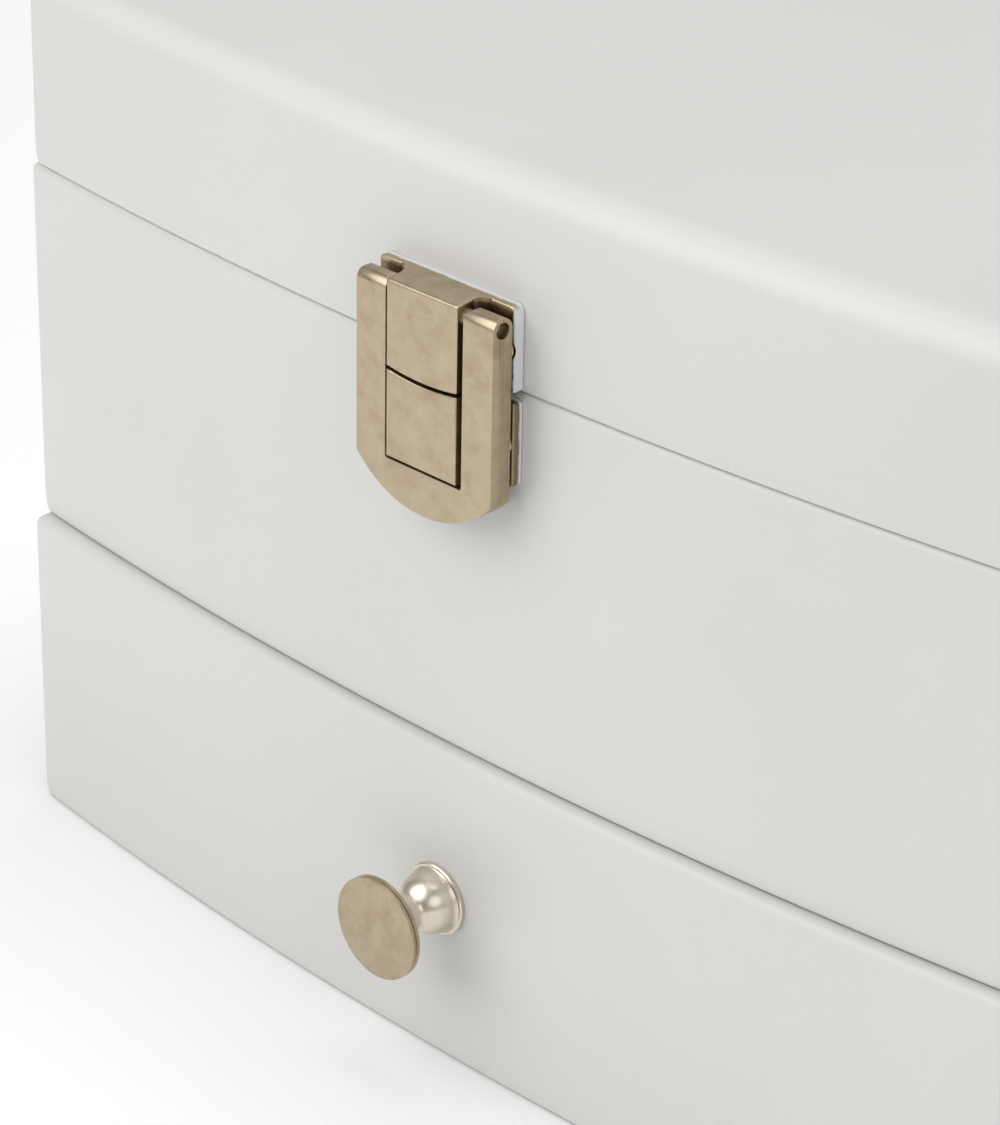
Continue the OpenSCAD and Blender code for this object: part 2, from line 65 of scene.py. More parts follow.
HALF_W = APRON[1].x
BOW = 5.7 * MM
FRONT_Y = APRON[0].y
PROUD = FRONT_Y - DRAWER[0].y
SEAM_Z = (APRON[1].z + LID_RAIL[0].z) / 2
BOW_R = (HALF_W ** 2 + BOW ** 2) / (2 * BOW)
BOW_CY = FRONT_Y + BOW_R


# ---- Camera: the photograph's viewing angle ----

AZIMUTH = math.radians(44.3)
ELEVATION = math.radians(26.85)
ROLL = math.radians(1.12)
DISTANCE = 0.489
AIM = Vector((8.4 * MM, FRONT_Y, SEAM_Z - 23.7 * MM))
LENS_MM = 128.4


def make_camera():
    away = Vector((math.sin(AZIMUTH) * math.cos(ELEVATION),
                   -math.cos(AZIMUTH) * math.cos(ELEVATION),
                   math.sin(ELEVATION)))
    right = Vector((math.cos(AZIMUTH), math.sin(AZIMUTH), 0))
    up = away.cross(right)
    turned_right = right * math.cos(ROLL) + up * math.sin(ROLL)
    turned_up = up * math.cos(ROLL) - right * math.sin(ROLL)
    data = bpy.data.cameras.new("camera")
    data.lens = LENS_MM
    data.sensor_width = 36
    data.clip_start = 0.01
    data.clip_end = 20
    camera = bpy.data.objects.new("camera", data)
    turn = Matrix((turned_right, turned_up, away)).transposed().to_4x4()
    camera.matrix_world = Matrix.Translation(AIM + away * DISTANCE) @ turn
    bpy.context.scene.collection.objects.link(camera)
    bpy.context.scene.camera = camera


# ---- Node helpers ----

class Nodes:
    """A material's node tree, with short calls for the nodes used here."""

    def __init__(self, name):
        self.material = bpy.data.materials.new(name)
        self.material.use_nodes = True
        self.tree = self.material.node_tree
        self.shader = self.tree.nodes["Principled BSDF"]
        self.place = self.tree.nodes.new("ShaderNodeTexCoord").outputs["Object"]

    def link(self, a, b):
        self.tree.links.new(a, b)

    def set(self, **values):
        for key, value in values.items():
            self.shader.inputs[key.replace("_", " ")].default_value = value

    def stretch(self, scale, turn=(0, 0, 0)):
        node = self.tree.nodes.new("ShaderNodeMapping")
        node.inputs["Scale"].default_value = scale
        node.inputs["Rotation"].default_value = turn
        self.link(self.place, node.inputs["Vector"])
        return node.outputs["Vector"]

    def noise(self, scale, detail=3, rough=0.5, vector=None, twist=0.0):
        node = self.tree.nodes.new("ShaderNodeTexNoise")
        node.inputs["Scale"].default_value = scale
        node.inputs["Detail"].default_value = detail
        node.inputs["Roughness"].default_value = rough
        node.inputs["Distortion"].default_value = twist
        self.link(vector or self.place, node.inputs["Vector"])
        return node.outputs["Fac"]

    def cells(self, scale, vector=None):
        node = self.tree.nodes.new("ShaderNodeTexVoronoi")
        node.inputs["Scale"].default_value = scale
        self.link(vector or self.place, node.inputs["Vector"])
        return node.outputs["Distance"]

    def ramp(self, value, *stops):
        node = self.tree.nodes.new("ShaderNodeValToRGB")
        elements = node.color_ramp.elements
        while len(elements) < len(stops):
            elements.new(0.5)
        for element, (where, colour) in zip(elements, stops):
            element.position = where
            element.color = (*colour, 1) if hasattr(colour, "__len__") else (colour,) * 3 + (1,)
        self.link(value, node.inputs["Fac"])
        return node.outputs["Color"]

    def span(self, value, low, high, from_low=0.0, from_high=1.0):
        node = self.tree.nodes.new("ShaderNodeMapRange")
        node.inputs["From Min"].default_value = from_low
        node.inputs["From Max"].default_value = from_high
        node.inputs["To Min"].default_value = low
        node.inputs["To Max"].default_value = high
        self.link(value, node.inputs["Value"])
        return node.outputs["Result"]

    def math(self, how, a, b=0.0):
        node = self.tree.nodes.new("ShaderNodeMath")
        node.operation = how
        for socket, value in zip(node.inputs, (a, b)):
            if isinstance(value, (int, float)):
                socket.default_value = value
            else:
                self.link(value, socket)
        return node.outputs["Value"]

    def mix(self, factor, a, b, how="MIX"):
        node = self.tree.nodes.new("ShaderNodeMix")
        node.data_type = "RGBA"
        node.blend_type = how
        for socket, value in ((node.inputs[0], factor), (node.inputs[6], a), (node.inputs[7], b)):
            if isinstance(value, (int, float)):
                socket.default_value = value
            elif isinstance(value, tuple):
                socket.default_value = (*value, 1)
            else:
                self.link(value, socket)
        return node.outputs[2]

    def split(self):
        node = self.tree.nodes.new("ShaderNodeSeparateXYZ")
        self.link(self.place, node.inputs[0])
        return node.outputs

    def bumps(self, *layers):
        """layers are (height, strength, distance), the finest last."""
        normal = None
        for height, strength, distance in layers:
            node = self.tree.nodes.new("ShaderNodeBump")
            node.inputs["Strength"].default_value = strength
            node.inputs["Distance"].default_value = distance
            self.link(height, node.inputs["Height"])
            if normal is not None:
                self.link(normal, node.inputs["Normal"])
            normal = node.outputs["Normal"]
        self.link(normal, self.shader.inputs["Normal"])


# ---- Materials ----

def white_paint():
    """Sprayed satin paint: faint orange peel, slow shade changes and a few dust specks."""
    n = Nodes("white_paint")
    slow = n.noise(18, 3, 0.5)
    base = n.ramp(slow, (0.3, (0.632, 0.627, 0.610)), (0.7, (0.659, 0.655, 0.638)))
    dust = n.cells(160)
    speck = n.ramp(dust, (0.0, 1.0), (0.035, 0.0))
    chosen = n.ramp(n.noise(55, 1, 0.5), (0.6, 0.0), (0.68, 1.0))
    where = n.math("MULTIPLY", speck, chosen)
    colour = n.mix(n.math("MULTIPLY", where, 0.35), base, (0.5, 0.48, 0.44))
    n.link(colour, n.shader.inputs["Base Color"])
    n.link(n.span(n.noise(60, 4, 0.6), 0.34, 0.46), n.shader.inputs["Roughness"])
    n.bumps((n.noise(90, 2, 0.4), 0.10, 0.0002), (n.noise(900, 2, 0.5), 0.06, 0.00004),
            (where, 0.35, 0.00005))
    n.set(Specular_IOR_Level=0.45, Coat_Weight=0.12, Coat_Roughness=0.22)
    return n.material


# The pale colour is a painted highlight on the knob's bell; the dark one marks pits and mould lines
# and also paints shade behind the latch.
NICKEL_HIGHLIGHT = (0.82, 0.75, 0.65)
NICKEL_LIGHT = (0.54, 0.45, 0.322)
NICKEL_MID = (0.44, 0.358, 0.24)
NICKEL_BROWN = (0.32, 0.23, 0.13)
NICKEL_DARK = (0.16, 0.11, 0.07)
TARNISH = (0.05, 0.045, 0.04)
OVERSPRAY = (0.72, 0.72, 0.73)


def paint_shade_on_sunk(n, base, share):
    """Painted shade: darker colour on faces that lie deep behind the front of the latch, where the
    gap is in shade.
    """
    place = n.split()
    deep = n.span(place["Y"], 0.0, share, FACE_Y + 0.6 * MM, FACE_Y + 2.6 * MM)
    below = n.span(place["Z"], 1.0, 0.0, ROOF_FRONT_Z - 0.3 * MM, ROOF_FRONT_Z)
    return n.mix(n.math("MULTIPLY", deep, below), base, NICKEL_DARK)


def paint_bell_highlight(n, base, share):
    """Painted highlight: paler colour on the half of the knob next to the drawer, where the bell's
    broad highlights show.
    """
    near = n.span(n.split()["Y"], 0.0, share, KNOB[1].y - 7.5 * MM, KNOB[1].y - 6 * MM)
    return n.mix(near, base, NICKEL_HIGHLIGHT)


def add_parting(n, base, layers):
    """Two faint mould lines down the bail's sides, which wander a little."""
    depth = n.split()["Y"]
    for share in (0.42, 0.56):
        y = BAIL[0].y + (BAIL[1].y - BAIL[0].y) * share
        wander = n.math("MULTIPLY", n.noise(300, 2, 0.5), 0.2 * MM)
        off = n.math("ABSOLUTE", n.math("SUBTRACT", n.math("ADD", depth, wander), y + 0.1 * MM))
        groove = n.span(off, 1.0, 0.0, 0.0, 0.07 * MM)
        base = n.mix(n.math("MULTIPLY", groove, 0.55), base, NICKEL_DARK)
        layers.append((groove, 0.6, -0.00005))
    return base


def overspray_mask(n, reach, sides_too):
    """1 where white paint has strayed onto a latch plate, with a ragged edge."""
    ragged = n.math("MULTIPLY", n.noise(700, 3, 0.6), 0.6 * MM)
    depth = n.math("ADD", n.split()["Y"], ragged)
    edge_y = FRONT_Y - reach
    back = n.span(depth, 0.0, 1.0, edge_y - 0.1 * MM, edge_y + 0.2 * MM)
    if not sides_too:
        return back
    side = n.math("ABSOLUTE", n.math("SUBTRACT", n.split()["X"], PLATE_X))
    side = n.math("ADD", side, ragged)
    edge = n.span(side, 0.0, 1.0, PLATE_HALF - 0.2 * MM, PLATE_HALF + 0.2 * MM)
    return n.math("MAXIMUM", edge, back)


def nickel(name, brushed=True, rough=(0.24, 0.40), overspray=0.0, sides_too=False,
           parting=False, tarnish=0.0, sunk=0.0, bell_highlight=0.0):
    """Warm satin nickel: mottled plating, fine upright brush lines, pits and tarnish."""
    n = Nodes(name)
    mottle = n.noise(420, 5, 0.65, twist=0.4)
    base = n.ramp(mottle, (0.25, NICKEL_MID), (0.75, NICKEL_LIGHT))
    blotch = n.ramp(n.noise(260, 4, 0.65, twist=0.3), (0.48, 0.0), (0.72, 0.42))
    base = n.mix(blotch, base, NICKEL_BROWN)
    pits = n.ramp(n.cells(1100), (0.0, 1.0), (0.12, 0.0))
    pitted = n.ramp(n.noise(500, 2, 0.5), (0.52, 0.0), (0.62, 0.8))
    pit = n.math("MULTIPLY", pits, pitted)
    base = n.mix(n.math("MULTIPLY", pit, 0.5), base, NICKEL_DARK)
    line_scale = (5200, 5200, 240) if brushed else (1400, 1400, 1400)
    lines = n.noise(1.0, 3, 0.6, n.stretch(line_scale))
    roughness = n.math("ADD", n.span(mottle, *rough), n.span(lines, -0.05, 0.05))
    layers = [(n.noise(260, 2, 0.5), 0.10, 0.0002), (lines, 0.16, 0.00003), (pit, 0.5, -0.00004)]
    # Painted shade: faces sunk behind the latch front are darkened.
    if sunk > 0:
        base = paint_shade_on_sunk(n, base, sunk)
    # Painted highlight: the knob's bell half is made paler.
    if bell_highlight > 0:
        base = paint_bell_highlight(n, base, bell_highlight)
    if tarnish > 0:
        base = n.mix(tarnish, base, TARNISH)
    if parting:
        base = add_parting(n, base, layers)
    if overspray > 0:
        paint = overspray_mask(n, overspray, sides_too)
        base = n.mix(paint, base, OVERSPRAY)
        n.link(n.span(paint, 1.0, 0.0), n.shader.inputs["Metallic"])
    else:
        n.set(Metallic=1.0)
    n.link(base, n.shader.inputs["Base Color"])
    n.link(roughness, n.shader.inputs["Roughness"])
    n.bumps(*layers)
    return n.material


def velvet():
    """Short-pile velvet: brushed patches, fine fibres and a pale sheen."""
    n = Nodes("velvet")
    patches = n.noise(35, 4, 0.6, twist=0.8)
    base = n.ramp(patches, (0.3, (0.50, 0.45, 0.38)), (0.7, (0.66, 0.61, 0.53)))
    fibres = n.noise(4200, 2, 0.7)
    colour = n.mix(0.35, base, n.ramp(fibres, (0.3, 0.35), (0.7, 1.0)), "MULTIPLY")
    n.link(colour, n.shader.inputs["Base Color"])
    n.link(n.span(patches, 0.82, 0.97), n.shader.inputs["Roughness"])
    n.set(Sheen_Weight=0.7, Sheen_Roughness=0.35, Specular_IOR_Level=0.15)
    n.bumps((patches, 0.15, 0.0006), (fibres, 0.55, 0.00012))
    return n.material


def felt():
    """Pressed grey felt: matted fibres in every direction."""
    n = Nodes("felt")
    matted = n.noise(900, 6, 0.75, twist=1.5)
    base = n.ramp(matted, (0.3, (0.22, 0.21, 0.19)), (0.7, (0.38, 0.36, 0.33)))
    n.link(base, n.shader.inputs["Base Color"])
    n.link(n.span(matted, 0.9, 1.0), n.shader.inputs["Roughness"])
    n.set(Sheen_Weight=0.3, Specular_IOR_Level=0.1)
    n.bumps((n.noise(120, 3, 0.6), 0.2, 0.0005), (matted, 0.7, 0.0002))
    return n.material


def bare_wood(name, along_y=False):
    """Pale sanded wood with grain along X, or along Y, and fine pores."""
    n = Nodes(name)
    grain_scale = (260, 22, 260) if along_y else (22, 260, 260)
    pore_scale = (2600, 120, 2600) if along_y else (120, 2600, 2600)
    grain = n.noise(1.0, 6, 0.62, n.stretch(grain_scale), twist=0.5)
    base = n.ramp(grain, (0.3, (0.52, 0.37, 0.21)), (0.5, (0.66, 0.50, 0.31)),
                  (0.72, (0.74, 0.60, 0.41)))
    pores = n.noise(1.0, 2, 0.5, n.stretch(pore_scale))
    colour = n.mix(0.3, base, n.ramp(pores, (0.35, 0.45), (0.5, 1.0)), "MULTIPLY")
    n.link(colour, n.shader.inputs["Base Color"])
    n.link(n.span(grain, 0.55, 0.72), n.shader.inputs["Roughness"])
    n.bumps((grain, 0.15, 0.0002), (pores, 0.35, 0.00005))
    return n.material


def silvered_glass():
    """Mirror with a faint film of dust and wiping marks."""
    n = Nodes("silvered_glass")
    film = n.noise(1.0, 4, 0.6, n.stretch((40, 90, 40), (0, 0, 0.5)), twist=0.6)
    n.link(n.ramp(film, (0.3, (0.86, 0.89, 0.89)), (0.8, (0.80, 0.83, 0.83))),
           n.shader.inputs["Base Color"])
    n.link(n.span(film, 0.015, 0.08, 0.35, 0.9), n.shader.inputs["Roughness"])
    n.set(Metallic=1.0)
    return n.material


# ---- Mesh helpers ----

SHARP = math.radians(32)


def finish_mesh(name, mesh_maker, material, smooth_below=SHARP):
    """Turns a bmesh into an object, smooth except at its sharp edges."""
    bmesh.ops.recalc_face_normals(mesh_maker, faces=mesh_maker.faces)
    for face in mesh_maker.faces:
        face.smooth = True
    for edge in mesh_maker.edges:
        edge.smooth = len(edge.link_faces) == 2 and edge.calc_face_angle(0) < smooth_below
    mesh = bpy.data.meshes.new(name)
    mesh_maker.to_mesh(mesh)
    mesh_maker.free()
    mesh.materials.append(material)
    piece = bpy.data.objects.new(name, mesh)
    bpy.context.scene.collection.objects.link(piece)
    return piece


def stack_rings(bm, rings, capped=True):
    """Joins rings of points into a closed skin, with flat ends."""
    loops = [[bm.verts.new(p) for p in ring] for ring in rings]
    for low, high in zip(loops, loops[1:]):
        for i in range(len(low)):
            j = (i + 1) % len(low)
            bm.faces.new((low[i], low[j], high[j], high[i]))
    if capped:
        bm.faces.new(reversed(loops[0]))
        bm.faces.new(loops[-1])
    return loops


def add_block(bm, low, high, bevel, segments=3):
    """A block with all its edges rounded."""
    made = bmesh.ops.create_cube(bm, size=1.0)
    size = Vector(high) - Vector(low)
    middle = (Vector(high) + Vector(low)) / 2
    bmesh.ops.scale(bm, vec=size, verts=made["verts"])
    bmesh.ops.translate(bm, vec=middle, verts=made["verts"])
    edges = {e for v in made["verts"] for e in v.link_edges}
    bmesh.ops.bevel(bm, geom=list(edges), offset=bevel, segments=segments, profile=0.5,
                    affect="EDGES", clamp_overlap=True)


def block_piece(name, node, bevel, material):
    low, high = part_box(node)
    bm = bmesh.new()
    add_block(bm, low, high, bevel)
    return finish_mesh(name, bm, material)


def settle(piece, body, slot, *nodes):
    """Puts a finished piece on its body and in place of its CAD nodes; the slot is not used."""
    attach(piece, body)
    if nodes:
        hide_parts(*nodes)
    return piece


def corner_steps(steps=6):
    return [math.pi / 2 * i / steps for i in range(steps + 1)]


# ---- Painted boards with the bowed front ----

BOW_STEPS = 72
FOOT_FRONT_SHARE = 0.3
END_R = 0.8 * MM


def bowed_plan(half, rear_y, proud, inset, front_inset, end_r=END_R, inset_rear=False):
    """Points round a board seen from above: bowed front, rounded front corners, straight rear."""
    radius = BOW_R + proud - front_inset
    side = half - inset
    rear = rear_y - inset if inset_rear else rear_y
    centre_y = BOW_CY - math.sqrt((radius - end_r) ** 2 - (side - end_r) ** 2)
    lean = math.atan2(side - end_r, BOW_CY - centre_y)
    sweep = math.pi / 2 - lean
    right = []
    for i in range(7):
        angle = lean + sweep * i / 6
        right.append((side - end_r + end_r * math.sin(angle), centre_y - end_r * math.cos(angle)))
    edge_x = right[0][0]
    front = []
    for i in range(1, BOW_STEPS):
        x = edge_x * (2 * i / BOW_STEPS - 1)
        front.append((x, BOW_CY - math.sqrt(radius ** 2 - x ** 2)))
    left = [(-x, y) for x, y in reversed(right)]
    return [(-side, rear), *left, *front, *right, (side, rear)]


def edge_levels(low_z, high_z, top_r, foot, steps=8):
    """(height, inset) up a board: foot is (width, height) of the eased lower edge."""
    wide, tall = foot
    levels = []
    if wide > 0:
        levels += [(low_z + tall * (1 - math.cos(a)), wide * (1 - math.sin(a)))
                   for a in corner_steps(steps)]
    else:
        levels.append((low_z, 0.0))
    if top_r > 0:
        levels += [(high_z - top_r * (1 - math.sin(a)), top_r * (1 - math.cos(a)))
                   for a in corner_steps(steps)]
    else:
        levels.append((high_z, 0.0))
    return levels


def bowed_board(name, box, rear_y, proud, top_r, foot, material, inset_rear=False):
    half = box[1].x
    levels = edge_levels(box[0].z, box[1].z, top_r, foot)
    if top_r > 0:
        levels.append((box[1].z, top_r + 1.5 * MM))
    rings = []
    for z, inset in levels:
        in_foot = z < box[0].z + foot[1] + 1e-6
        front_inset = inset * FOOT_FRONT_SHARE if in_foot else inset
        plan = bowed_plan(half, rear_y, proud, inset, front_inset, inset_rear=inset_rear)
        rings.append([(x, y, z) for x, y in plan])
    bm = bmesh.new()
    stack_rings(bm, rings)
    bmesh.ops.remove_doubles(bm, verts=bm.verts, dist=1e-7)
    return finish_mesh(name, bm, material)


TIER_FOOT = (0.7 * MM, 4.0 * MM)
LID_FOOT = (0.6 * MM, 2.5 * MM)
DRAWER_FOOT = (0.7 * MM, 2.5 * MM)
SIDE_FOOT = (0.6 * MM, 1.2 * MM)


def taller(box, below=0.0, above=0.0):
    """The box with its foot and top moved out, to close a seam to a hairline."""
    return Vector((*box[0].xy, box[0].z - below)), Vector((*box[1].xy, box[1].z + above))


def make_painted_fronts(paint):
    """The bowed fronts and the lid's top."""
    fixed = bowed_board("fixed_front", taller(APRON, 0.35 * MM, 0.1 * MM), APRON[1].y, 0,
                        1.1 * MM, TIER_FOOT, paint)
    settle(fixed, "case", "white_paint", "front_apron")
    face = bowed_board("drawer_face", DRAWER, DRAWER[1].y, PROUD, 1.35 * MM, DRAWER_FOOT, paint)
    settle(face, "drawer", "white_paint", "drawer_front")
    front = bowed_board("lid_front", taller(LID_RAIL, 0.1 * MM), LID_RAIL[1].y, 0, 0, LID_FOOT,
                        paint)
    settle(front, "lid", "white_paint", "lid_front_rail")
    top = bowed_board("lid_top", LID_TOP, LID_TOP[1].y, 0, 4.5 * MM, (0, 0), paint,
                      inset_rear=True)
    settle(top, "lid", "white_paint", "lid_top_panel")


def make_painted_sides(paint):
    for side in ("left", "right"):
        panel = f"{side}_side_panel"
        board = side_board(f"{side}_side", panel, 1.1 * MM, SIDE_FOOT, paint, above=0.1 * MM)
        settle(board, "case", "white_paint", panel)
        rail = f"lid_{side}_rail"
        board = side_board(f"lid_{side}_side", rail, 0, LID_FOOT, paint, below=0.1 * MM)
        settle(board, "lid", "white_paint", rail)


def side_board(name, node, top_r, foot, material, below=0.0, above=0.0):
    """A side panel: only its outer edges are eased, so it meets its neighbours flush."""
    low, high = taller(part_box(node), below, above)
    outward = 1 if high.x > 0 else -1
    outer, inner = (high.x, low.x) if outward > 0 else (low.x, high.x)
    bm = bmesh.new()
    section = [(outer - outward * inset, z)
               for z, inset in edge_levels(low.z, high.z, top_r, foot)]
    section += [(inner, high.z), (inner, low.z)]
    rings = [[(x, y, z) for x, z in section] for y in (low.y, high.y)]
    stack_rings(bm, rings)
    bmesh.ops.remove_doubles(bm, verts=bm.verts, dist=1e-7)
    return finish_mesh(name, bm, material)


# ---- Latch ----

PLATE_HALF = (CATCH[1].x - CATCH[0].x) / 2
PLATE_X = (CATCH[1].x + CATCH[0].x) / 2
PLATE_FRONT_Y = FRONT_Y - 1.5 * MM
BAIL_X = (BAIL[1].x + BAIL[0].x) / 2
FACE_Y = BAIL[0].y
TONGUE_HALF = 6.0 * MM
WINDOW_HALF = 6.6 * MM
PIN_R = (PIN[1].z - PIN[0].z) / 2
PIN_Z = (PIN[0].z + PIN[1].z) / 2
PIN_Y = (PIN[0].y + PIN[1].y) / 2
PLATE_EDGE = 0.28 * MM
METAL_EDGE = 0.2 * MM
ROOF_BACK_Z = LID_PLATE[1].z
ROOF_FRONT_Z = SEAM_Z + 10.95 * MM
KNUCKLE_Z = SEAM_Z + 6.2 * MM
FLAP_SIDE_Z = SEAM_Z - 0.35 * MM
FLAP_SAG = 0.5 * MM
BLOCK_GAP = 0.45 * MM


def arc(cx, cz, r, start, end, steps=10):
    """Points on an arc, in degrees anticlockwise from +X."""
    return [(cx + r * math.cos(math.radians(start + (end - start) * i / steps)),
             cz + r * math.sin(math.radians(start + (end - start) * i / steps)))
            for i in range(steps + 1)]


def rounded_outline(x0, x1, z0, z1, top_r, foot_r):
    return (arc(x0 + foot_r, z0 + foot_r, foot_r, 180, 270)
            + arc(x1 - foot_r, z0 + foot_r, foot_r, 270, 360)
            + arc(x1 - top_r, z1 - top_r, top_r, 0, 90)
            + arc(x0 + top_r, z1 - top_r, top_r, 90, 180))


def bevel_sharp(bm, edges, offset, segments=3):
    bmesh.ops.bevel(bm, geom=edges, offset=offset, segments=segments, profile=0.5,
                    affect="EDGES", clamp_overlap=True)


def add_sheet(bm, outline, y_front, y_rear, bevel):
    """An upright outline given as (x, z), as thick as y_front to y_rear, its front edge eased."""
    before = set(bm.verts)
    stack_rings(bm, [[(x, y, z) for x, z in outline] for y in (y_front, y_rear)])
    verts = [v for v in bm.verts if v not in before]
    rim = {e for v in verts for e in v.link_edges
           if all(abs(w.co.y - y_front) < 1e-7 for w in e.verts)}
    bmesh.ops.recalc_face_normals(bm, faces=list({f for v in verts for f in v.link_faces}))
    bevel_sharp(bm, list(rim), bevel)


def cut(piece, other, how="DIFFERENCE"):
    """Applies one exact Boolean to piece and removes the other object."""
    modifier = piece.modifiers.new("cut", "BOOLEAN")
    modifier.operation = how
    modifier.solver = "EXACT"
    modifier.object = other
    bpy.context.view_layer.update()
    shaped = bpy.data.meshes.new_from_object(
        piece.evaluated_get(bpy.context.evaluated_depsgraph_get()))
    piece.modifiers.clear()
    piece.data = shaped
    bpy.data.objects.remove(other)
    tidy_mesh(shaped)


def tidy_mesh(mesh, bevel=0.0):
    """Welds what a Boolean left, eases its sharp edges if asked, and sets the shading."""
    bm = bmesh.new()
    bm.from_mesh(mesh)
    bmesh.ops.remove_doubles(bm, verts=bm.verts, dist=2e-6)
    bmesh.ops.dissolve_degenerate(bm, edges=bm.edges, dist=1e-6)
    if bevel > 0:
        bmesh.ops.recalc_face_normals(bm, faces=bm.faces)
        rim = [e for e in bm.edges if len(e.link_faces) == 2 and e.calc_face_angle(0) > 0.6]
        bevel_sharp(bm, rim, bevel, 2)
    for face in bm.faces:
        face.smooth = True
    for edge in bm.edges:
        edge.smooth = len(edge.link_faces) == 2 and edge.calc_face_angle(0) < SHARP
    bm.to_mesh(mesh)
    bm.free()


def add_rod_x(bm, x0, x1, y, z, r, segments=48):
    """A round bar along X."""
    turn = [2 * math.pi * i / segments for i in range(segments)]
    stack_rings(bm, [[(x, y + r * math.cos(a), z + r * math.sin(a)) for a in turn]
                     for x in (x0, x1)])


def roof_z(y):
    share = (y - FACE_Y) / (PLATE_FRONT_Y - FACE_Y)
    return ROOF_FRONT_Z + (ROOF_BACK_Z - ROOF_FRONT_Z) * min(1.0, share)


def cap_side():
    """Side view of the folded cap and its flap, as (y, z) points."""
    foot = FLAP_SIDE_Z - FLAP_SAG
    fold = 0.45 * MM
    rise_y = PLATE_FRONT_Y + 0.6 * MM
    flap = 1.2 * MM
    points = [(rise_y, KNUCKLE_Z), (rise_y, ROOF_BACK_Z), (PLATE_FRONT_Y, ROOF_BACK_Z)]
    points += arc(FACE_Y + fold, roof_z(FACE_Y + fold) - fold, fold, 90, 180, 8)
    points += [(FACE_Y, foot), (FACE_Y + flap, foot), (FACE_Y + flap, KNUCKLE_Z)]
    return points


def make_cap(metal):
    """The folded middle of the lid plate: roof, knuckle and hanging flap with a curved edge."""
    columns = 24
    foot = FLAP_SIDE_Z - FLAP_SAG
    rings = []
    for i in range(columns + 1):
        share = 2 * i / columns - 1
        lift = FLAP_SAG * share ** 2
        rings.append([(PLATE_X + TONGUE_HALF * share, y, z + (lift if z < foot + 1e-6 else 0))
                      for y, z in cap_side()])
    bm = bmesh.new()
    stack_rings(bm, rings)
    bmesh.ops.recalc_face_normals(bm, faces=bm.faces)
    sharp = [e for e in bm.edges if len(e.link_faces) == 2 and e.calc_face_angle(0) > 0.8]
    bevel_sharp(bm, sharp, METAL_EDGE)
    return finish_mesh("cap", bm, metal)


def make_gusset(metal):
    """The hollow fillets that run from the plate into the sides of the cap."""
    fillet = 1.6 * MM
    root_y = PLATE_FRONT_Y + 0.3 * MM
    right = [(TONGUE_HALF + fillet, root_y)]
    right += [(TONGUE_HALF + fillet * (1 - math.sin(a)), PLATE_FRONT_Y - fillet * (1 - math.cos(a)))
              for a in corner_steps(8)]
    right.append((TONGUE_HALF - 0.4 * MM, PLATE_FRONT_Y - fillet))
    outline = right + [(-x, y) for x, y in reversed(right)]
    sink = 0.02 * MM
    bm = bmesh.new()
    stack_rings(bm, [[(PLATE_X + x, y, KNUCKLE_Z) for x, y in outline],
                     [(PLATE_X + x, y, roof_z(y) - sink) for x, y in outline]])
    return finish_mesh("gusset", bm, metal)


NAIL_X = 10.35 * MM
NAIL_SINK_R = 1.45 * MM


def make_lid_plate(metal):
    """The plate on the lid, whose middle folds over the pin and hangs as a flap."""
    bm = bmesh.new()
    add_sheet(bm, rounded_outline(PLATE_X - PLATE_HALF, PLATE_X + PLATE_HALF, LID_RAIL[0].z,
                                  ROOF_BACK_Z, 0.9 * MM, 0.6 * MM),
              PLATE_FRONT_Y, FRONT_Y, PLATE_EDGE)
    plate = finish_mesh("latch_plate_with_flap", bm, metal)
    cut(plate, make_gusset(metal), "UNION")
    cut(plate, make_cap(metal), "UNION")
    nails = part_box("latch_lid_nails")
    for side in (-1, 1):
        bm = bmesh.new()
        turned(bm, (PLATE_X + side * NAIL_X, PLATE_FRONT_Y, (nails[0].z + nails[1].z) / 2),
               [(-0.55 * MM, NAIL_SINK_R - 0.5 * MM), (0.05 * MM, NAIL_SINK_R + 0.05 * MM)], 40)
        cut(plate, finish_mesh("sink", bm, metal))
    return plate


def make_catch(metal):
    """The lower plate with the block that fills the foot of the bail's window."""
    bm = bmesh.new()
    add_sheet(bm, rounded_outline(PLATE_X - PLATE_HALF, PLATE_X + PLATE_HALF,
                                  SEAM_Z - 12.3 * MM, SEAM_Z - 1.1 * MM, 0.5 * MM, 0.9 * MM),
              PLATE_FRONT_Y, FRONT_Y, PLATE_EDGE)
    plate = finish_mesh("latch_catch", bm, metal)
    foot = CATCH[0].z
    outline = [(PLATE_X - TONGUE_HALF, foot), (PLATE_X + TONGUE_HALF, foot)]
    steps = 20
    for i in range(steps + 1):
        share = 1 - 2 * i / steps
        z = FLAP_SIDE_Z - FLAP_SAG * (1 - share ** 2) - BLOCK_GAP
        outline.append((PLATE_X + TONGUE_HALF * share, z))
    bm = bmesh.new()
    add_sheet(bm, outline, FACE_Y, FRONT_Y, METAL_EDGE)
    cut(plate, finish_mesh("block", bm, metal), "UNION")
    return plate


